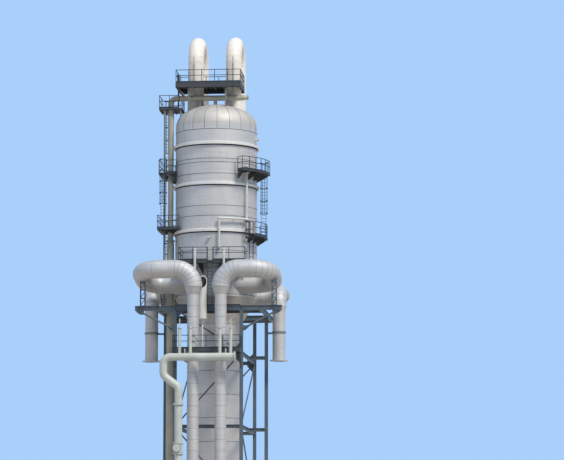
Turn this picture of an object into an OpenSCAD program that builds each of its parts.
// Vacuum distillation column with its transfer lines, steelwork and platforms.
// A model at half the real size. Z is up and Z 0 is the ground. The column stands
// on the Z axis, the front with the two transfer lines looks along -Y, and X runs
// to the right as seen from the front.

/* [Column] */
// Outside diameter of the wide upper shell with its cladding
upper_d = 3720; // [3600:10:3800]
// Outside diameter of the slim bottom shell and of the skirt
lower_d = 2300; // [1800:10:2400]
// Thickness of shells and heads, insulation and cladding included
shell_t = 60; // [30:5:100]
// Height of the skirt, ground to bottom seam
skirt_h = 4500; // [3500:50:5500]
// Height of the slim bottom shell
lower_h = 7450; // [7000:50:7800]
// Height of the cone between the two shells
cone_h = 1150; // [900:50:1300]
// Height of the wide upper shell
upper_h = 7870; // [7500:10:8200]
// Crown radius of the top head as a share of its diameter
crown_ratio = 0.8; // [0.75:0.01:0.95]
// Knuckle radius of the top head as a share of its diameter
knuckle_ratio = 0.22; // [0.12:0.01:0.24]
// Height of the access opening in the skirt
access_h = 800; // [600:10:1000]
// Width of the access opening in the skirt
access_w = 400; // [300:10:500]

/* [Stiffening rings] */
// How far a ring stands out from the shell
ring_out = 95; // [60:5:100]
// Height of the upright face of a ring
ring_h = 125; // [80:5:160]
// Height of a lap seam of the cladding
lap_h = 16; // [8:1:24]
// How far a lap seam stands out
lap_out = 7; // [3:1:10]

/* [Overhead vapour lines] */
// Outside diameter of an overhead line
over_d = 725; // [600:5:740]
// Distance of each overhead line from the middle, sideways
over_x = 870; // [800:5:900]
// Radius of the U bends on top
over_bend = 1000; // [985:5:1020]
// How far the middle line of the U bends' crowns lies above the upper shell
over_rise = 4110; // [3900:10:4300]
// Outside diameter of the vapour run below
vapour_d = 680; // [600:5:680]
// Outside diameter of the outer vapour legs
leg_d = 580; // [480:5:600]
// Distance of the outer vapour legs from the middle, sideways
vapour_x = 2900; // [2880:5:3000]

/* [Transfer lines] */
// Outside diameter of the risers
riser_d = 520; // [440:5:530]
// Outside diameter of the loops
loop_d = 800; // [700:5:820]
// Distance of each riser from the middle, sideways
riser_x = 610; // [600:5:650]
// How far the risers stand in front of the column axis
riser_y = 3650; // [3620:5:3700]
// How far the middle line of the loops' front legs lies above the cone
loop_rise = 1000; // [920:10:1050]
// Radius of the elbow between a riser and its loop
loop_elbow = 800; // [700:10:850]
// Radius of the two quarter turns of a loop
loop_turn = 850; // [800:10:900]
// Distance of the side leg of a loop from the middle, sideways
loop_reach = 2900; // [2850:10:2950]
// How far a loop falls from its front leg to its back leg
loop_fall = 450; // [380:10:500]
// How far the back legs lie in front of the column axis
loop_back_y = 1200; // [1100:10:1250]

/* [Steel frame] */
// Width of a frame post
post_w = 150; // [120:5:180]
// Depth of the top beams
beam_h = 215; // [180:5:240]
// Width of the beams' flanges
beam_w = 110; // [90:5:130]
// How far the top of the frame lies above the foot of the cone
frame_rise = 570; // [450:10:650]
// Distance of the corner posts from the middle, sideways
frame_x = 1475; // [1440:5:1550]
// Distance of the corner posts from the middle, front to back
frame_y = 3100; // [3050:5:3150]
// Half the length of the long front and back beams
wing_x = 3275; // [3100:5:3400]

/* [Platforms and ladders] */
// Height of a handrail above its deck
rail_h = 600; // [500:10:650]
// Diameter of handrails and their posts
rail_d = 30; // [24:1:36]
// Thickness of a deck with its frame
deck_t = 60; // [40:5:80]
// Width of a ladder between its stringers
ladder_w = 225; // [200:5:260]
// Distance between rungs
rung_gap = 150; // [140:1:160]
// Diameter of a ladder cage
cage_d = 360; // [340:5:400]

/* [Hidden] */
// Clearance between pieces that seat on each other
seat = 0.3;
// Overshoot of a cut past the face it opens
over = 5;
$fn = 72;
upper_r = upper_d / 2;
lower_r = lower_d / 2;
cone_z = skirt_h + lower_h;
upper_z = cone_z + cone_h;
tangent_z = upper_z + upper_h;
crown_r = crown_ratio * upper_d;
knuckle_r = knuckle_ratio * upper_d;
crown_rise = crown_r - sqrt(pow(crown_r - knuckle_r, 2) - pow(upper_r - knuckle_r, 2));
apex_z = tangent_z + crown_rise;
ring_r = upper_r + ring_out;
pipes_mid_x = -110;
over_top = tangent_z + over_rise;
over_y = 250;
over_back_y = over_y + 2 * over_bend;
frame_z = cone_z + frame_rise;
leg_y = -300;
leg_flange_z = frame_z - 2270;
run_z = frame_z + 880;
split_z = run_z + 1000;
loop_z = upper_z + loop_rise;
riser_foot_z = 1000;
riser_cone_h = 350;
riser_head_z = loop_z - loop_elbow - riser_cone_h;
riser_end_x = 1900;
loop_r = norm([riser_y - loop_back_y, loop_fall]) / 2;
loop_tilt = -atan2(loop_fall, riser_y - loop_back_y);
base_r = lower_r + 140;
anchor_n = 12;
anchor_pcd = 2 * (lower_r + 72);
skirt_t = 30;
access_z = 900;
wall = 24;
reflux_y = -500;
reflux_x = round(sqrt(pow(ring_r, 2) - pow(reflux_y, 2))) + 145;
reflux_d = 250;
header_z = tangent_z + 1340;
header_x = 1750;
header_vent_xs = [-1000, 800];
side_x = 2300;
inner_y = 1750;
top_z = tangent_z + 1980;
header_vent_z = top_z + 980;
top_box = [-1770, 1215, -1100, 750];
top_edge = 220;
top_leg_xs = [-1180, 520];
top_leg_ys = [-950, 660];
landing_x = -2565;
landing_in_x = -1515;
ring_zs = upper_z * [1, 1, 1] + upper_h * [0.3774, 0.6487, 0.8825];
nozzle_under_ring = [330, 370];
landing_over_ring = [180, 645];
landing_zs = [
    frame_z + deck_t,
    round(ring_zs[0] + landing_over_ring[0]),
    round(ring_zs[1] + landing_over_ring[1]),
    tangent_z + 860
];
landing_ys = [[330, 1250], [-1250, 480], [-790, 1250], [-790, 480]];
left_ladder_x = -2330;
deck_gap = 30;
arc_in = ring_r + 35;
arc_over_ring = 595;
arc_under_ring = 170;
upper_arc = [-56, 0, 2475, round(ring_zs[1] + arc_over_ring)];
lower_arc = [-36, 14, 2350, round(ring_zs[0] - arc_under_ring)];
front_z = upper_z + 1500;
front_edge_y = -2700;
front_ladder_x = 25;
drain_r = ring_r + 70;
drain_angle = -41;
drain_foot_angle = -80;
mid_z = frame_z - 1970;
mid_x = 1500;
mid_edge_y = -3950;
levels = [frame_z - 8770, frame_z - 5270, frame_z - 2020];
mid_beam_h = 160;
mid_beam_w = 90;
header_y = -4300;
steam_z = mid_z - 400;
steam_d = 340;
lap_zs = upper_h * [0.0127, 0.1652, 0.2625, 0.4625, 0.5215, 0.7065, 0.772, 0.7935, 0.9645];
sides = [-1, 1];

// Helpers

function unit(v) = v / norm(v);

// Tangent length that a bend of radius r takes on each leg at corner i of a path.
function bend_len(p, i, r) =
    r * tan(acos(max(-1, min(1, unit(p[i] - p[i - 1]) * unit(p[i + 1] - p[i])))) / 2);

// Point on the leg from corner i towards corner j, past the bend at i.
function leg_end(p, i, j, radii) =
    (i == 0 || i == len(p) - 1) ? p[i] : p[i] + bend_len(p, i, radii[i]) * unit(p[j] - p[i]);

// A flat shape extruded from a to b, with its own Y axis turned towards up.
module along(a, b, up = [0, 0, 1]) {
    z = unit(b - a);
    x = unit(cross(up, z));
    y = cross(z, x);
    multmatrix([
        [x[0], y[0], z[0], a[0]],
        [x[1], y[1], z[1], a[1]],
        [x[2], y[2], z[2], a[2]],
        [0, 0, 0, 1]
    ])
        linear_extrude(norm(b - a))
            children();
}

// A round bar or tube from a to b. A bore of 0 makes it solid.
module rod(a, b, d, bore = 0, sides_n = 48) {
    up = abs(unit(b - a)[2]) > 0.9 ? [0, 1, 0] : [0, 0, 1];
    along(a, b, up)
        ring_shape(d, bore, sides_n);
}

module ring_shape(d, bore = 0, sides_n = 48) {
    if (bore > 0)
        difference() {
            circle(d = d, $fn = sides_n);
            circle(d = bore, $fn = sides_n);
        }
    else
        circle(d = d, $fn = sides_n);
}

// The curved piece at corner i of a path.
module elbow(p, i, r, d, bore = 0) {
    u = unit(p[i] - p[i - 1]);
    v = unit(p[i + 1] - p[i]);
    turn = acos(u * v);
    n = unit(cross(u, v));
    start = p[i] - bend_len(p, i, r) * u;
    centre = start + r * cross(n, u);
    x = unit(start - centre);
    y = cross(n, x);
    multmatrix([
        [x[0], y[0], n[0], centre[0]],
        [x[1], y[1], n[1], centre[1]],
        [x[2], y[2], n[2], centre[2]],
        [0, 0, 0, 1]
    ])
        rotate_extrude(angle = turn)
            translate([r, 0])
                ring_shape(d, bore);
}

// A pipe along a path of corners, with one bend radius for each corner.
module route(p, radii, d, bore = 0) {
    for (i = [0 : len(p) - 2]) {
        a = leg_end(p, i, i + 1, radii);
        b = leg_end(p, i + 1, i, radii);
        if (norm(b - a) > 0.01)
            rod(a, b, d, bore);
    }
    if (len(p) > 2)
        for (i = [1 : len(p) - 2])
            elbow(p, i, radii[i], d, bore);
}

// A welding-neck flange with bolt holes, its face at a and its neck towards dir.
module flange(a, dir, d, out_d, t, bore, holes = 0, pcd = 0, hole_d = 0) {
    up = abs(dir[2]) > 0.9 ? [0, 1, 0] : [0, 0, 1];
    along(a, a + dir * t, up)
        difference() {
            circle(d = out_d);
            circle(d = bore);
            if (holes > 0)
                for (i = [0 : holes - 1])
                    rotate((i + 0.5) * 360 / holes)
                        translate([pcd / 2, 0])
                            circle(d = hole_d, $fn = 24);
        }
}

// An I section, w wide and h deep, its top edge at y 0.
module i_shape(w, h, tf, tw) {
    translate([-w / 2, -tf])
        square([w, tf]);
    translate([-w / 2, -h])
        square([w, tf]);
    translate([-tw / 2, -h])
        square([tw, h]);
}

// An I beam from a to b with its top flange on the line a to b.
module beam(a, b, w = beam_w, h = beam_h) {
    along(a, b)
        i_shape(w, h, 16, 12);
}

// An H post standing on z0 and reaching z1.
module post(x, y, z0, z1, w = post_w) {
    translate([x, y + w / 2, z0])
        linear_extrude(z1 - z0)
            i_shape(w, w, 14, 12);
}

// Rise of a dished head of radius r with the given crown and knuckle radii.
function dish_rise(r, crown, knuckle) =
    crown - sqrt(pow(crown - knuckle, 2) - pow(r - knuckle, 2));

// Half the outline of a dished head: crown and knuckle arcs, grown by g.
module dish_profile(r, crown, knuckle, g = 0) {
    rise = dish_rise(r, crown, knuckle);
    hub = [r - knuckle, 0];
    centre = [0, rise - crown];
    intersection() {
        square([r + g, rise + g]);
        union() {
            translate(hub)
                circle(r = knuckle + g, $fn = 360);
            intersection() {
                translate(centre)
                    circle(r = crown + g, $fn = 720);
                polygon([centre, centre + 3 * (hub - centre), [0, 3 * crown]]);
            }
        }
    }
}

// A dished head of wall t, standing on Z 0.
module dish(r, crown, knuckle, t) {
    rotate_extrude()
        difference() {
            dish_profile(r, crown, knuckle);
            dish_profile(r, crown, knuckle, -t);
        }
}

// The space that the top head fills, grown by g, for seating pieces on it.
module head_body(g = 0) {
    translate([0, 0, tangent_z])
        rotate_extrude($fn = 240)
            dish_profile(upper_r, crown_r, knuckle_r, g);
}

// The space that the wide upper shell fills, grown by g.
module upper_body(g = 0) {
    translate([0, 0, upper_z - 500])
        cylinder(r = upper_r + g, h = upper_h + 500, $fn = 240);
}

// Column

module base_ring() {
    color("#7f8486")
        difference() {
            union() {
                cylinder(r = base_r, h = 40);
                translate([0, 0, 240])
                    cylinder(r = base_r - 10, h = 30);
                for (i = [0 : anchor_n - 1], s = sides)
                    rotate((i + 0.5) * 360 / anchor_n)
                        translate([lower_r - 20, s * 60 - 8, 30])
                            cube([base_r - lower_r - 10, 16, 220]);
            }
            translate([0, 0, 40])
                cylinder(r = lower_r + seat, h = 400);
            translate([0, 0, -over])
                cylinder(r = lower_r - 140, h = 100);
            for (i = [0 : anchor_n - 1])
                rotate((i + 0.5) * 360 / anchor_n)
                    translate([anchor_pcd / 2, 0, -over])
                        cylinder(d = 42, h = 400, $fn = 24);
        }
}

// The arched outline of the skirt's access opening, grown by g.
module access_shape(g = 0) {
    translate([-access_w / 2 - g, access_w / 2])
        square([access_w + 2 * g, access_h - access_w]);
    translate([0, access_w / 2])
        circle(d = access_w + 2 * g);
    translate([0, access_h - access_w / 2])
        circle(d = access_w + 2 * g);
}

module skirt() {
    color("#a9adaf")
        difference() {
            union() {
                translate([0, 0, 40])
                    cylinder(r = lower_r, h = skirt_h - 40);
                translate([0, -lower_r + 200, access_z])
                    rotate([90, 0, 0])
                        linear_extrude(250)
                            access_shape(25);
            }
            translate([0, 0, -over])
                cylinder(r = lower_r - skirt_t, h = skirt_h + 2 * over);
            translate([0, -lower_r + 300, access_z])
                rotate([90, 0, 0])
                    linear_extrude(500)
                        access_shape();
            for (i = [0 : 3])
                rotate(45 + i * 90)
                    translate([lower_r - 100, 0, skirt_h - 350])
                        rotate([0, 90, 0])
                            cylinder(d = 70, h = 200, $fn = 24);
        }
}

module bottom_head() {
    r = lower_r - skirt_t - seat;
    color("#b4b7b9")
        translate([0, 0, skirt_h])
            mirror([0, 0, 1])
                dish(r, crown_ratio * 2 * r, knuckle_ratio * 2 * r, skirt_t);
}

// A straight shell with lap seams at heights zs above its bottom edge.
module shell(r, z, h, zs) {
    translate([0, 0, z])
        difference() {
            union() {
                cylinder(r = r, h = h);
                for (lap = zs)
                    translate([0, 0, lap])
                        cylinder(r = r + lap_out, h = lap_h);
            }
            translate([0, 0, -over])
                cylinder(r = r - shell_t, h = h + 2 * over);
        }
}

module bottom_shell() {
    color("#b9bdc0")
        shell(lower_r, skirt_h, lower_h, [for (i = [1 : 6]) i * 1060]);
}

module transition_cone() {
    r0 = lower_r - shell_t;
    r1 = upper_r - shell_t;
    slope = (upper_r - lower_r) / cone_h;
    color("#b4b8bb")
        translate([0, 0, cone_z])
            difference() {
                union() {
                    cylinder(r1 = lower_r, r2 = upper_r, h = cone_h);
                    cylinder(r = lower_r + 45, h = 50);
                }
                translate([0, 0, -over])
                    cylinder(r1 = r0 - over * slope, r2 = r1 + over * slope, h = cone_h + 2 * over);
            }
}

module upper_shell() {
    color("#c3c4c6")
        shell(upper_r, upper_z, upper_h, lap_zs);
}

module top_head() {
    color("#bcbec0")
        translate([0, 0, tangent_z])
            dish(upper_r, crown_r, knuckle_r, shell_t);
}

module stiffening_rings() {
    r = upper_r + seat;
    color("#d4d6d8")
        for (z = ring_zs)
            translate([0, 0, z])
                rotate_extrude()
                    polygon([
                        [r, -ring_h / 2],
                        [ring_r, -ring_h / 2],
                        [ring_r, ring_h / 2 - 14],
                        [r, ring_h / 2 + 20]
                    ]);
}

// A blind-flanged nozzle that stands out from a shell of radius r at an angle.
module nozzle(angle, z, r, d, reach) {
    rotate(angle)
        translate([0, 0, z])
            rotate([0, 90, 0]) {
                translate([0, 0, r - 30])
                    cylinder(d = d, h = reach + 30, $fn = 36);
                translate([0, 0, r + reach - 34])
                    cylinder(d = 1.6 * d, h = 34, $fn = 36);
            }
}

module shell_nozzles() {
    color("#dfe2e3")
        difference() {
            union() {
                nozzle(-93, round(ring_zs[0] - nozzle_under_ring[0]), upper_r, 90, 150);
                nozzle(-40, round(ring_zs[0] - nozzle_under_ring[1]), upper_r, 90, 110);
                nozzle(-12, tangent_z - 610, upper_r, 100, 160);
                nozzle(150, ring_zs[1] - 260, upper_r, 90, 150);
                nozzle(70, upper_z + 1500, upper_r, 90, 150);
            }
            upper_body(seat);
        }
}

// Overhead vapour lines

// An upright tube that tapers from d0 at z0 to d1 at z1.
module reducer(x, y, z0, z1, d0, d1) {
    slope = (d1 - d0) / (z1 - z0);
    translate([x, y, z0])
        difference() {
            cylinder(d1 = d0, d2 = d1, h = z1 - z0);
            translate([0, 0, -over])
                cylinder(
                    d1 = d0 - 2 * wall - slope * over,
                    d2 = d1 - 2 * wall + slope * over,
                    h = z1 - z0 + 2 * over
                );
        }
}

module overhead_line(s) {
    x = pipes_mid_x + s * over_x;
    path = [
        [x, over_y, tangent_z + 500],
        [x, over_y, over_top],
        [x, over_back_y, over_top],
        [x, over_back_y, split_z]
    ];
    color("#f0ece0")
        difference() {
            route(path, [0, over_bend, over_bend, 0], over_d, over_d - 2 * wall);
            head_body(seat);
        }
}

module overhead_line_left() {
    overhead_line(-1);
}

module overhead_line_right() {
    overhead_line(1);
}

// The vapour line from the foot of an overhead line, round the column to its
// flange that looks down beside the frame.
module vapour_run(s) {
    x0 = pipes_mid_x + s * over_x;
    x1 = s * vapour_x;
    neck_z = run_z - 700;
    path = [
        [x0, over_back_y, split_z - 120],
        [x0, over_back_y, run_z],
        [x1, over_back_y, run_z],
        [x1, leg_y, run_z],
        [x1, leg_y, neck_z]
    ];
    color("#c9ccce") {
        reducer(x0, over_back_y, split_z - 120, split_z, vapour_d, over_d);
        route(path, [0, 800, 800, 700, 0], vapour_d, vapour_d - 2 * wall);
        reducer(x1, leg_y, neck_z - 250, neck_z, leg_d, vapour_d);
        rod([x1, leg_y, leg_flange_z + 40], [x1, leg_y, neck_z - 250], leg_d, leg_d - 2 * wall);
        flange([x1, leg_y, leg_flange_z], [0, 0, 1], leg_d, leg_d + 240, 40, leg_d - 2 * wall,
            12, leg_d + 150, 36);
    }
}

module vapour_run_left() {
    vapour_run(-1);
}

module vapour_run_right() {
    vapour_run(1);
}

// Clamps that tie the outer vapour legs to the side posts of the frame, and the
// shoes that hold the risers off the front beam.
module pipe_guides() {
    arm_x = side_x + post_w / 2;
    color("#6b7073")
        for (s = sides, z = [frame_z - 1020])
            difference() {
                union() {
                    translate([s * vapour_x, leg_y, z])
                        cylinder(d = leg_d + 60, h = 80);
                    translate([s > 0 ? arm_x : -vapour_x + 250, -40, z])
                        cube([vapour_x - arm_x - 250, 20, 80]);
                    translate([s > 0 ? arm_x : -arm_x - 16, -post_w / 2, z - 20])
                        cube([16, post_w, 120]);
                }
                translate([s * vapour_x, leg_y, z - over])
                    cylinder(d = leg_d + 2 * seat, h = 100);
            }
    color("#6b7073")
        for (s = sides)
            difference() {
                translate([s * riser_x - 60, -riser_y + riser_d / 2 - 60, frame_z - 90])
                    cube([120, riser_y - riser_d / 2 + 60 - frame_y - beam_w / 2, 90]);
                translate([s * riser_x, -riser_y, frame_z - 200])
                    cylinder(d = riser_d + 2 * seat, h = 300);
            }
}

// Transfer lines

function riser_path(s) = [
    [s * riser_end_x, -riser_y, riser_foot_z],
    [s * riser_x, -riser_y, riser_foot_z],
    [s * riser_x, -riser_y, riser_head_z]
];

// The end of a loop's front leg, where its turn starts.
function joint_x(s) = pipes_mid_x + s * (loop_reach - loop_turn);

// Puts its children in the tilted plane in which a loop turns backwards.
module loop_plane(s) {
    translate([joint_x(s), -(riser_y + loop_back_y) / 2, loop_z - loop_fall / 2])
        rotate([loop_tilt, 0, 0])
            children();
}

// The turn of a loop: two quarter bends with a straight side leg between them.
module loop_bend(s, d, bore = 0) {
    half = loop_r - loop_turn;
    short = 0.05;
    loop_plane(s) {
        for (j = sides)
            translate([0, j * half, 0])
                rotate((s > 0 ? (j > 0 ? 0 : -90) : (j > 0 ? 90 : 180)) + short)
                    rotate_extrude(angle = 90 - 2 * short, $fn = 240)
                        translate([loop_turn, 0])
                            ring_shape(d, bore, 96);
        rod([s * loop_turn, 1 - half, 0], [s * loop_turn, half - 1, 0], d, bore, 96);
    }
}

module transfer_riser(s) {
    color("#b9bbbd") {
        route(riser_path(s), [0, 650, 0], riser_d, riser_d - 2 * wall);
        flange([s * riser_end_x, -riser_y, riser_foot_z], [-s, 0, 0], riser_d,
            riser_d + 230, 45, riser_d - 2 * wall, 12, riser_d + 140, 36);
    }
}

module transfer_riser_left() {
    transfer_riser(-1);
}

module transfer_riser_right() {
    transfer_riser(1);
}

// A loop: reducer, elbow, front leg, the turn that falls backwards, and the leg
// that enters the side of the shell. Narrow collars bridge the joints.
module transfer_loop(s) {
    bore = loop_d - 2 * wall;
    half = loop_r - loop_turn;
    front_end = [joint_x(s), -riser_y, loop_z];
    back_end = [joint_x(s), -loop_back_y, loop_z - loop_fall];
    drain_x = s * 1560;
    color("#c4c2c3")
        difference() {
            union() {
                reducer(s * riser_x, -riser_y, riser_head_z, riser_head_z + riser_cone_h, riser_d, loop_d);
                route([
                    [s * riser_x, -riser_y, riser_head_z + riser_cone_h],
                    [s * riser_x, -riser_y, loop_z],
                    front_end - [s, 0, 0]
                ], [0, loop_elbow, 0], loop_d, bore);
                loop_bend(s, loop_d, bore);
                rod(back_end - [s, 0, 0], [s * 900, back_end[1], back_end[2]], loop_d, bore);
                for (q = [front_end, back_end])
                    rod(q - [30, 0, 0], q + [30, 0, 0], loop_d + 16, bore - 6, 96);
                loop_plane(s)
                    for (j = sides)
                        rod([s * loop_turn, j * half - 30, 0], [s * loop_turn, j * half + 30, 0],
                            loop_d + 16, bore - 6, 96);
                difference() {
                    translate([drain_x, -riser_y, loop_z - loop_d / 2 - 110])
                        cylinder(d = 90, h = 150, $fn = 36);
                    translate([drain_x - 300, -riser_y, loop_z])
                        rotate([0, 90, 0])
                            cylinder(d = loop_d - wall, h = 600);
                }
                translate([drain_x, -riser_y, loop_z - loop_d / 2 - 130])
                    cylinder(d = 150, h = 30, $fn = 36);
            }
            upper_body(seat);
        }
}

module transfer_loop_left() {
    transfer_loop(-1);
}

module transfer_loop_right() {
    transfer_loop(1);
}

// Lattice stands between the long front beam and the underside of the loops.
module loop_stands() {
    w = 230;
    x = loop_reach + 30;
    stand_h = loop_z - frame_z - 480;
    color("#3d4144")
        for (s = sides)
            difference() {
                translate([s * x, -frame_y, frame_z]) {
                    translate([-w / 2, -w / 2, 0])
                        cube([w, w, 14]);
                    for (i = sides, j = sides)
                        translate([i * (w / 2 - 16), j * (w / 2 - 16), 0])
                            translate([-16, -16, 0])
                                cube([32, 32, stand_h]);
                    for (z = [330, 700, stand_h - 90])
                        translate([-w / 2, -w / 2, z])
                            difference() {
                                cube([w, w, 30]);
                                translate([32, 32, -1])
                                    cube([w - 64, w - 64, 32]);
                            }
                    for (z = [30, 360, 730], j = sides)
                        rod([-w / 2 + 16, j * (w / 2 - 16), z], [w / 2 - 16, j * (w / 2 - 16), z + 300], 20,
                            sides_n = 8);
                    translate([-w / 2, -w / 2, stand_h - 60])
                        cube([w, w, 320]);
                }
                loop_bend(s, loop_d + 2 * seat);
            }
}

// Stools under the elbows at the foot of the risers.
module riser_supports() {
    color("#85898c")
        for (s = sides)
            difference() {
                translate([s * riser_x, -riser_y, 0]) {
                    translate([-250, -250, 0])
                        cube([500, 500, 25]);
                    cylinder(d = 320, h = riser_foot_z + 120);
                }
                route(riser_path(s), [0, 650, 0], riser_d + 2 * seat);
            }
}

// Reflux line

module reflux_riser() {
    x = -reflux_x;
    flange_z = upper_z + 2630;
    foot_z = 1600;
    out_x = -2900;
    color("#c3cbc6") {
        route([
            [out_x, reflux_y, foot_z],
            [x, reflux_y, foot_z],
            [x, reflux_y, flange_z - 120]
        ], [0, 400, 0], 330);
        translate([x, reflux_y, flange_z - 120])
            cylinder(d1 = 330, d2 = reflux_d, h = 100);
        translate([x, reflux_y, flange_z - 20])
            cylinder(d = 410, h = 50);
        route([
            [x, reflux_y, flange_z],
            [x, reflux_y, header_z],
            [-header_x, reflux_y, header_z]
        ], [0, 240, 0], reflux_d);
        flange([out_x, reflux_y, foot_z], [1, 0, 0], 330, 500, 40, 180);
    }
}

module reflux_header() {
    color("#c3cbc6") {
        difference() {
            union() {
                rod([-header_x, reflux_y, header_z], [header_x - 450, reflux_y, header_z], reflux_d);
                translate([header_x - 450, reflux_y, header_z])
                    rotate([0, 90, 0])
                        cylinder(d1 = reflux_d, d2 = 140, h = 180);
                translate([header_x - 270, reflux_y, header_z])
                    rotate([0, 90, 0])
                        cylinder(d = 220, h = 30);
                rod([0, reflux_y, apex_z - 400], [0, reflux_y, header_z], 160);
                for (x = [-700, 620])
                    translate([x - 20, reflux_y - 110, apex_z - 400])
                        cube([40, 220, header_z - apex_z + 400]);
                for (x = header_vent_xs) {
                    rod([x, reflux_y, header_z], [x, reflux_y, header_vent_z], 100);
                    rod([x, reflux_y, header_vent_z], [x, reflux_y, header_vent_z + 330], 44,
                        sides_n = 24);
                }
            }
            head_body(seat);
        }
    }
}

// Platforms and ladders

// A straight handrail with posts and a toe plate, along corners p on a deck at z.
// Every stretch is a panel of its own, and starts just past the last one's corner post.
module handrail(p, z, step = 760) {
    for (i = [0 : len(p) - 2]) {
        a = p[i] + (i == 0 ? 0 : rail_d / 2 + seat) * unit(p[i + 1] - p[i]);
        b = p[i + 1];
        n = max(1, ceil(norm(b - p[i]) / step));
        for (h = [rail_h - rail_d / 2, rail_h * 0.55])
            rod([a[0], a[1], z + h], [b[0], b[1], z + h], rail_d, sides_n = 8);
        along([a[0], a[1], z], [b[0], b[1], z])
            translate([-4, 0])
                square([8, 70]);
        for (k = [(i == 0 ? 0 : 1) : n])
            translate([p[i][0] + (b[0] - p[i][0]) * k / n, p[i][1] + (b[1] - p[i][1]) * k / n, z])
                cylinder(d = rail_d, h = rail_h, $fn = 8);
    }
}

// A handrail round the column at radius r, from angle a0 to a1.
module arc_handrail(r, a0, a1, z, n) {
    rail = rail_d - 4;
    rotate(a0)
        for (h = [rail_h - rail / 2, rail_h * 0.55, 35])
            translate([0, 0, z + h])
                rotate_extrude(angle = a1 - a0)
                    translate([r, 0])
                        square(h == 35 ? [8, 70] : [rail, rail], center = true);
    for (k = [0 : n])
        rotate(a0 + (a1 - a0) * k / n)
            translate([r, 0, z])
                cylinder(d = rail_d, h = rail_h, $fn = 8);
}

// Edge boards under a deck, along corners p, their tops at z.
module edge_boards(p, z, h) {
    for (i = [0 : len(p) - 2])
        along([p[i][0], p[i][1], z], [p[i + 1][0], p[i + 1][1], z])
            translate([-9, -h])
                square([18, h]);
}

// A triangular bracket on a shell at an angle, its top edge at z.
module bracket(angle, z, reach, drop, t = 24) {
    rotate(angle)
        translate([0, t / 2, z])
            rotate([90, 0, 0])
                linear_extrude(t)
                    polygon([
                        [upper_r - 20, 0],
                        [upper_r + reach, 0],
                        [upper_r + reach, -50],
                        [upper_r + 50, -drop],
                        [upper_r - 20, -drop]
                    ]);
}

// A ladder from z0 to a deck at z1. Its climber is on the side that angle turns
// -Y to, and its stringers reach on above the deck as a grip.
module ladder(x, y, z0, z1, angle = 0, cage = true) {
    top = z1 - z0 + rail_h;
    hoop = cage_d / 2;
    centre_y = -150;
    open = acos(ladder_w / 2 / hoop);
    translate([x, y, z0])
        rotate(angle) {
            for (s = sides)
                translate([s * ladder_w / 2 - 8, -20, 0])
                    cube([16, 40, top]);
            for (z = [rung_gap : rung_gap : z1 - z0])
                translate([-ladder_w / 2, 0, z])
                    rotate([0, 90, 0])
                        cylinder(d = 18, h = ladder_w, $fn = 8);
            if (cage) {
                n = ceil((top - 1150) / 620);
                for (k = [0 : n])
                    translate([0, centre_y, 1130 + k * (top - 1170) / n])
                        rotate(180 - open)
                            rotate_extrude(angle = 180 + 2 * open)
                                translate([hoop - 7, 0])
                                    square([7, 36]);
                for (a = [-150, -120, -90, -60, -30])
                    translate([0, centre_y, 1130])
                        rotate(a)
                            translate([hoop - 12, -11, 0])
                                cube([8, 22, top - 1136]);
            }
        }
}

module top_deck() {
    plate = 30;
    x0 = top_box[0];
    x1 = top_box[1];
    y0 = top_box[2];
    y1 = top_box[3];
    color("#53585b")
        difference() {
            union() {
                translate([x0, y0, top_z - plate])
                    cube([x1 - x0, y1 - y0, plate]);
                edge_boards([
                    [x0 + 9, y0],
                    [x0 + 9, y1]
                ], top_z, top_edge);
                edge_boards([
                    [x1 - 9, y0],
                    [x1 - 9, y1]
                ], top_z, top_edge);
                for (y = concat([y0 + 9, y1 - 9], top_leg_ys))
                    edge_boards([
                        [x0, y],
                        [x1, y]
                    ], top_z, top_edge);
            }
            for (s = sides)
                translate([pipes_mid_x + s * over_x, over_y, top_z - 300])
                    cylinder(d = over_d + 30, h = 400);
            for (x = header_vent_xs)
                translate([x, reflux_y, top_z - 300])
                    cylinder(d = 130, h = 400);
        }
}

module top_posts() {
    under = top_z - top_edge;
    color("#5b6063")
        difference() {
            union() {
                for (x = top_leg_xs, y = top_leg_ys)
                    translate([x - 40, y - 40, tangent_z + 200])
                        cube([80, 80, under - tangent_z - 200]);
                for (y = top_leg_ys)
                    intersection() {
                        rod([top_leg_xs[0], y, under - 560], [top_box[0] + 60, y, under], 56, sides_n = 8);
                        translate([-3000, -3000, 0])
                            cube([6000, 6000, under]);
                    }
            }
            head_body(seat);
        }
}

module top_railing() {
    x0 = top_box[0] + 18;
    x1 = top_box[1] - 18;
    y0 = top_box[2] + 18;
    y1 = top_box[3] - 18;
    color("#4a4f52")
        handrail([
            [x0, 40],
            [x0, y0],
            [x1, y0],
            [x1, y1],
            [x0, y1],
            [x0, 360]
        ], top_z, 600);
}

module left_landings() {
    color("#565b5e")
        for (i = [0 : 3]) {
            z = landing_zs[i];
            y0 = landing_ys[i][0];
            y1 = landing_ys[i][1];
            x1 = i == 0 ? -upper_r - 27 : landing_in_x;
            difference() {
                union() {
                    difference() {
                        translate([landing_x, y0, z - deck_t])
                            cube([x1 - landing_x, y1 - y0, deck_t]);
                        translate([0, 0, upper_z])
                            cylinder(r = upper_r + deck_gap, h = upper_h);
                    }
                    if (i == 1)
                        for (a = [172, 186, 200])
                            bracket(a, z - deck_t, 490, 140);
                    if (i == 2)
                        for (a = [150, 165, 180, 200])
                            bracket(a, z - deck_t, 490, 380);
                }
                upper_body(seat);
                translate([-reflux_x, reflux_y, z - 600])
                    cylinder(d = reflux_d + 50, h = 700);
            }
        }
}

// Distance from the middle, sideways, of a post that stands just off the shell at y.
function beside(y) = round(sqrt(pow(upper_r + 60, 2) - pow(y, 2)));

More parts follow.
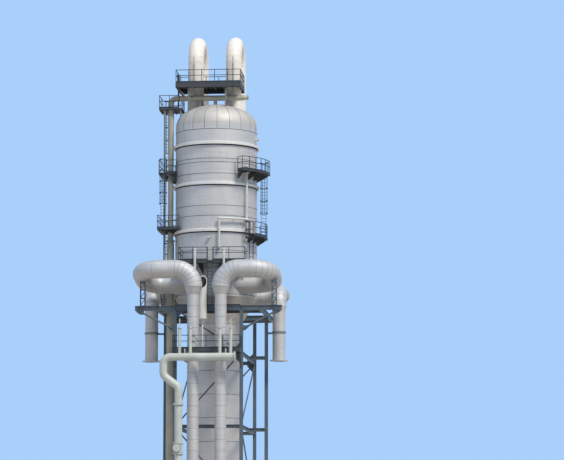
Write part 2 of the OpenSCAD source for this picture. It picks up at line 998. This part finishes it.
module left_railings() {
    x0 = landing_x + 18;
    x1 = -upper_r - 45;
    gap = left_ladder_x + ladder_w / 2 + 30;
    color("#4a4f52") {
        handrail([
            [gap + 60, landing_ys[0][0] + 18],
            [x0, landing_ys[0][0] + 18],
            [x0, landing_ys[0][1] - 18],
            [x1, landing_ys[0][1] - 18],
            [x1, landing_ys[0][0] + 18],
            [x1 - 75, landing_ys[0][0] + 18]
        ], landing_zs[0]);
        handrail([
            [-1560, landing_ys[1][0] + 18],
            [x0, landing_ys[1][0] + 18],
            [x0, landing_ys[1][1] - 18]
        ], landing_zs[1]);
        handrail([
            [gap, landing_ys[1][1] - 18],
            [-beside(landing_ys[1][1] - 18), landing_ys[1][1] - 18]
        ], landing_zs[1]);
        handrail([
            [-beside(landing_ys[2][0] + 18), landing_ys[2][0] + 18],
            [gap, landing_ys[2][0] + 18]
        ], landing_zs[2]);
        handrail([
            [x0, landing_ys[2][0] + 18],
            [x0, landing_ys[2][1] - 18],
            [-1560, landing_ys[2][1] - 18]
        ], landing_zs[2]);
        handrail([
            [-1550, landing_ys[3][1] - 18],
            [-1550, reflux_y + 170]
        ], landing_zs[3]);
        handrail([
            [-1640, landing_ys[3][0] + 18],
            [x0, landing_ys[3][0] + 18],
            [x0, landing_ys[3][1] - 18]
        ], landing_zs[3]);
        handrail([
            [gap, landing_ys[3][1] - 18],
            [-1700, landing_ys[3][1] - 18]
        ], landing_zs[3]);
    }
}

module left_ladders() {
    x = left_ladder_x;
    color("#4f5457") {
        ladder(x, landing_ys[1][1] + 20, landing_zs[0], landing_zs[1], 180);
        ladder(x, landing_ys[2][0] - 20, landing_zs[1], landing_zs[2], 0);
        ladder(x, landing_ys[3][1] + 20, landing_zs[2], landing_zs[3], 180);
        ladder(top_box[0] - 20, 200, landing_zs[3], top_z, -90, cage = false);
    }
}

// The tube posts that carry the outer edge of the left landings, and the short
// legs of the uppermost one on the shoulder of the head.
module left_posts() {
    x = -side_x;
    y = -700;
    zs = [frame_z, landing_zs[1], landing_zs[2], landing_zs[3]];
    color("#5b6063") {
        for (i = [0 : 2])
            rod([x, y, zs[i]], [x, y, zs[i + 1] - deck_t], 90);
        difference() {
            for (y = [-720, 400])
                translate([-1600, y - 30, tangent_z + 100])
                    cube([60, 60, landing_zs[3] - deck_t - tangent_z - 100]);
            head_body(seat);
        }
    }
}

// A curved deck: [start angle, end angle, outer radius, height].
module arc_deck(spec) {
    rotate(spec[0])
        rotate_extrude(angle = spec[1] - spec[0])
            translate([arc_in, spec[3] - deck_t])
                square([spec[2] - arc_in, deck_t]);
}

module right_decks() {
    color("#565b5e")
        difference() {
            union() {
                arc_deck(upper_arc);
                for (a = [-52, -33, -18, -3])
                    bracket(a, upper_arc[3] - deck_t, 520, 300);
                arc_deck(lower_arc);
                for (a = [-33, -20, -6, 9])
                    bracket(a, lower_arc[3] - deck_t, 400, 280);
            }
            upper_body(seat);
            rotate(drain_angle)
                translate([drain_r, 0, upper_arc[3] - 600])
                    cylinder(d = 120, h = 700);
        }
}

module right_railings() {
    r0 = upper_arc[2] - 20;
    r1 = lower_arc[2] - 20;
    color("#4a4f52") {
        arc_handrail(r0, upper_arc[0] + 0.6, upper_arc[1] - 0.6, upper_arc[3], 6);
        rotate(upper_arc[0] + 0.6)
            handrail([
                [arc_in + 30, 0],
                [r0, 0]
            ], upper_arc[3]);
        arc_handrail(r1, lower_arc[0] + 0.6, lower_arc[1] - 0.6, lower_arc[3], 4);
        rotate(lower_arc[1] - 0.6)
            handrail([
                [arc_in + 30, 0],
                [r1, 0]
            ], lower_arc[3]);
    }
}

module right_ladders() {
    color("#4f5457") {
        ladder(ring_r + 215, 20, lower_arc[3], upper_arc[3], 180);
        rotate(lower_arc[0])
            ladder(ring_r + 200, -20, front_z, lower_arc[3], 0);
    }
}

front_outline = [
    [-1410, front_edge_y],
    [1575, front_edge_y],
    [1575, -1980],
    [1960, -1420],
    [1830, -1080],
    [1200, -1080],
    [-1200, -1080],
    [-1410, -1250]
];

module front_deck() {
    color("#565b5e")
        difference() {
            union() {
                difference() {
                    translate([0, 0, front_z - deck_t])
                        linear_extrude(deck_t)
                            polygon(front_outline);
                    translate([0, 0, upper_z])
                        cylinder(r = upper_r + deck_gap, h = upper_h);
                }
                edge_boards([
                    [-1410, front_edge_y + 9],
                    [1575, front_edge_y + 9]
                ], front_z, 130);
                for (a = [-124, -102, -79, -58])
                    bracket(a, front_z - deck_t, 780, 460);
                bracket(-38, front_z - deck_t, 380, 300);
            }
            upper_body(seat);
        }
}

module front_railing() {
    y0 = front_edge_y + 18;
    gap = ladder_w / 2 + 30;
    color("#4a4f52") {
        handrail([
            [-1392, -1320],
            [-1392, y0],
            [front_ladder_x - gap, y0]
        ], front_z);
        handrail([
            [front_ladder_x + gap, y0],
            [1557, y0],
            [1557, -1975]
        ], front_z);
    }
}

module front_ladder() {
    color("#4f5457")
        ladder(front_ladder_x, front_edge_y - 20, frame_z + deck_t, front_z, 0, cage = false);
}

module drain_line() {
    d = 90;
    turn_z = upper_z + 3480;
    foot_z = upper_z + 2150;
    head_z = upper_arc[3] + 200;
    cut = 50;
    cut_a = cut / drain_r * 57.3;
    a = [drain_r * cos(drain_angle), drain_r * sin(drain_angle)];
    b = [drain_r * cos(drain_foot_angle), drain_r * sin(drain_foot_angle)];
    color("#e3e6e6")
        difference() {
            union() {
                rod([a[0], a[1], turn_z + cut], [a[0], a[1], head_z - cut], d);
                rod([b[0], b[1], foot_z + cut], [b[0], b[1], turn_z - cut], d);
                rotate(drain_foot_angle + cut_a)
                    translate([0, 0, turn_z])
                        rotate_extrude(angle = drain_angle - drain_foot_angle - 2 * cut_a)
                            translate([drain_r, 0])
                                circle(d = d, $fn = 36);
                for (q = [[a, turn_z], [a, head_z], [b, turn_z], [b, foot_z]])
                    translate([q[0][0], q[0][1], q[1]])
                        sphere(d = d + 50);
                for (q = [[drain_angle, head_z], [drain_foot_angle, foot_z]])
                    rotate(q[0])
                        translate([upper_r - 30, 0, q[1]])
                            rotate([0, 90, 0])
                                cylinder(d = d, h = drain_r - upper_r + 30 - cut, $fn = 36);
                for (q = [[drain_angle, turn_z + 720], [-60, turn_z]])
                    rotate(q[0])
                        translate([upper_r - 30, -20, q[1] - 20])
                            cube([drain_r - upper_r + 30, 40, 40]);
            }
            upper_body(seat);
        }
}

// Steel frame

module base_plate(x, y, w = 300) {
    translate([x - w / 2, y - w / 2, 0])
        cube([w, w, 30]);
}

module frame_posts() {
    top = frame_z - beam_h;
    color("#6f7477") {
        for (i = sides, j = sides) {
            base_plate(i * frame_x, j * frame_y);
            post(i * frame_x, j * frame_y, 20, top);
        }
        for (i = sides) {
            base_plate(i * side_x, 0);
            post(i * side_x, 0, 20, top);
        }
    }
}

module frame_beams_top() {
    y1 = frame_y - beam_w / 2 - seat;
    x1 = side_x - beam_w / 2 - seat;
    color("#5d6265") {
        for (j = sides) {
            reach = j < 0 ? wing_x : side_x + 200;
            beam([-reach, j * frame_y, frame_z], [reach, j * frame_y, frame_z]);
            beam([-x1, j * inner_y, frame_z], [x1, j * inner_y, frame_z]);
        }
        for (i = sides)
            beam([i * side_x, -y1, frame_z], [i * side_x, y1, frame_z]);
    }
}

module frame_beams_mid() {
    x1 = frame_x - post_w / 2 - seat;
    y1 = frame_y - post_w / 2 - seat;
    color("#666b6e")
        for (z = levels) {
            for (j = sides)
                beam([-x1, j * frame_y, z], [x1, j * frame_y, z], mid_beam_w, mid_beam_h);
            for (i = sides) {
                beam([i * frame_x, -y1, z], [i * frame_x, y1, z], mid_beam_w, mid_beam_h);
                beam([i * (frame_x + mid_beam_w / 2 + seat), 0, z],
                    [i * (side_x - post_w / 2 - seat), 0, z], mid_beam_w, mid_beam_h);
            }
        }
}

// Braces from the front posts up to the long front beam.
module knee_braces() {
    x0 = frame_x + post_w / 2;
    x1 = wing_x + 125;
    top = frame_z - beam_h;
    color("#4e5356")
        for (i = sides)
            intersection() {
                rod([i * (x0 - 80), -frame_y, top - 860], [i * (wing_x - 115), -frame_y, top + 30], 84,
                    sides_n = 8);
                translate([i > 0 ? x0 + seat : -x1 - seat, -frame_y - 100, 0])
                    cube([x1 - x0, 200, top - seat]);
            }
}

// One diagonal in each bay of the frame, turned the other way at each level.
module frame_braces() {
    ends = concat([30 + mid_beam_h], levels, [frame_z]);
    x1 = frame_x - post_w / 2 - seat;
    y1 = frame_y - post_w / 2 - seat;
    color("#5d6265")
        for (k = [0 : len(levels)]) {
            z0 = ends[k] + seat - (k == 0 ? mid_beam_h : 0);
            z1 = ends[k + 1] - (k == len(levels) ? beam_h : mid_beam_h) - seat;
            way = k % 2 == 0 ? 1 : -1;
            for (j = sides)
                intersection() {
                    rod([-way * (x1 + 40), j * frame_y, z0 - 40], [way * (x1 + 40), j * frame_y, z1 + 40],
                        64, sides_n = 8);
                    translate([-x1, j * frame_y - 60, z0])
                        cube([2 * x1, 120, z1 - z0]);
                }
            if (k < len(levels))
                for (i = sides)
                    intersection() {
                        rod([i * frame_x, -way * (y1 + 40), z0 - 20], [i * frame_x, way * (y1 + 40), z1 + 20],
                            64, sides_n = 8);
                        translate([i * frame_x - 60, -y1, z0])
                            cube([120, 2 * y1, z1 - z0]);
                    }
        }
}

// The grating on top of the frame, in front of the cone.
module frame_deck() {
    color("#565b5e")
        translate([-1400, -frame_y - beam_w / 2, frame_z])
            cube([2800, frame_y + beam_w / 2 - inner_y + 50, deck_t]);
}

module mid_deck() {
    y0 = -frame_y - post_w / 2;
    color("#565b5e")
        difference() {
            union() {
                translate([-mid_x, mid_edge_y, mid_z - deck_t])
                    cube([2 * mid_x, y0 - mid_edge_y, deck_t]);
                edge_boards([
                    [-mid_x, mid_edge_y + 9],
                    [mid_x, mid_edge_y + 9]
                ], mid_z, 150);
                for (i = sides) {
                    translate([i * frame_x - 18, mid_edge_y, mid_z - 150])
                        cube([36, y0 - mid_edge_y, 140]);
                    intersection() {
                        rod([i * frame_x, y0 + 60, mid_z - 820], [i * frame_x, mid_edge_y + 100, mid_z - 120],
                            50, sides_n = 8);
                        translate([i * frame_x - 100, mid_edge_y, mid_z - 1500])
                            cube([200, y0 - mid_edge_y, 1450]);
                    }
                }
            }
            for (s = sides)
                translate([s * riser_x, -riser_y, mid_z - 300])
                    cylinder(d = riser_d + 40, h = 400);
        }
}

module mid_railing() {
    x = mid_x - 18;
    y = mid_edge_y + 18;
    color("#4a4f52")
        handrail([
            [-x, y + 700],
            [-x, y],
            [x, y],
            [x, y + 700]
        ], mid_z);
}

// Pipes in front of the frame

module steam_header() {
    x0 = -1500;
    x1 = 1280;
    color("#c5d2d1") {
        rod([x0, header_y, steam_z], [x1, header_y, steam_z], steam_d);
        translate([x1, header_y, steam_z])
            rotate([0, 90, 0])
                cylinder(d = steam_d + 110, h = 50);
        for (x = [-1125, -650, 650, 1125]) {
            rod([x, header_y, steam_z], [x, header_y, steam_z + 1300], 135);
            rod([x, header_y, steam_z + 1300], [x, header_y, steam_z + 1680], 50, sides_n = 24);
            translate([x, header_y, steam_z + 1250])
                cylinder(d = 190, h = 30, $fn = 36);
        }
    }
    color("#5b6063")
        for (x = [-900, 900])
            translate([x - 15, header_y - 60, steam_z + 60])
                cube([30, mid_edge_y - header_y + 60, 300]);
}

module downcomer() {
    color("#c5d2d1") {
        route([
            [-1500, header_y, steam_z],
            [-1835, header_y, steam_z],
            [-1835, header_y, steam_z - 810],
            [-1163, header_y, steam_z - 1314],
            [-1163, header_y, 20]
        ], [0, 320, 320, 320, 0], steam_d);
        for (z = [8050, 6350, 5900, 3000])
            translate([-1163, header_y, z])
                cylinder(d = steam_d + 120, h = 70);
        translate([-1163, header_y, 6000])
            cylinder(d = steam_d + 70, h = 320);
        rod([-1163, header_y, 6160], [-1163, header_y - 330, 6160], 230);
        rod([-1163, header_y - 330, 6160], [-1163, header_y - 360, 6160], 300);
        rod([-1163, header_y - 360, 6160], [-1163, header_y - 560, 6160], 50, sides_n = 24);
        rod([-1163, header_y - 520, 6160], [-1163, header_y - 540, 6160], 360);
        translate([-1415, header_y - 250, 0])
            cube([500, 500, 30]);
    }
}

// The upright vent between the risers, its mouth cut on the slant.
module vent_stack() {
    x = -235;
    y = -3370;
    z0 = frame_z - 570;
    z1 = frame_z + 1330;
    d = 400;
    color("#8d9193")
        difference() {
            union() {
                rod([x, y, z0], [x, y, z1], d);
                translate([x, y, z0 - 50])
                    cylinder(d = d + 50, h = 50);
                translate([x, y, z0 - 300])
                    cylinder(d1 = 110, d2 = d, h = 250);
                rod([x, y, mid_z], [x, y, z0 - 300], 90);
                translate([x - 60, y + 100, frame_z - 160])
                    cube([120, -frame_y - beam_w / 2 - y - 100, 60]);
            }
            translate([x, y, z0 + 20])
                cylinder(d = d - 40, h = z1 - z0 + 20);
            translate([x - d, y - d / 2 - 1, z1 - 617])
                rotate([57, 0, 0])
                    cube([2 * d, 3 * d, 3 * d]);
        }
}

module front_vents() {
    color("#d9dcdc")
        for (s = sides) {
            rod([s * 650, -2800, frame_z + deck_t], [s * 650, -2800, front_z + 500], 110);
            translate([s * 650, -2800, front_z + 460])
                cylinder(d = 150, h = 60, $fn = 36);
            translate([s * 650 - 20, -2800, front_z - 40])
                cube([40, 2800 + front_edge_y, 30]);
        }
}

// Assembly

base_ring();
skirt();
bottom_head();
bottom_shell();
transition_cone();
upper_shell();
top_head();
stiffening_rings();
shell_nozzles();
overhead_line_left();
overhead_line_right();
vapour_run_left();
vapour_run_right();
transfer_riser_left();
transfer_riser_right();
transfer_loop_left();
transfer_loop_right();
loop_stands();
riser_supports();
reflux_riser();
reflux_header();
top_deck();
top_posts();
top_railing();
left_landings();
left_railings();
left_ladders();
left_posts();
right_decks();
right_railings();
right_ladders();
front_deck();
front_railing();
front_ladder();
drain_line();
frame_posts();
frame_beams_top();
frame_beams_mid();
knee_braces();
frame_braces();
frame_deck();
mid_deck();
mid_railing();
steam_header();
downcomer();
vent_stack();
front_vents();
pipe_guides();
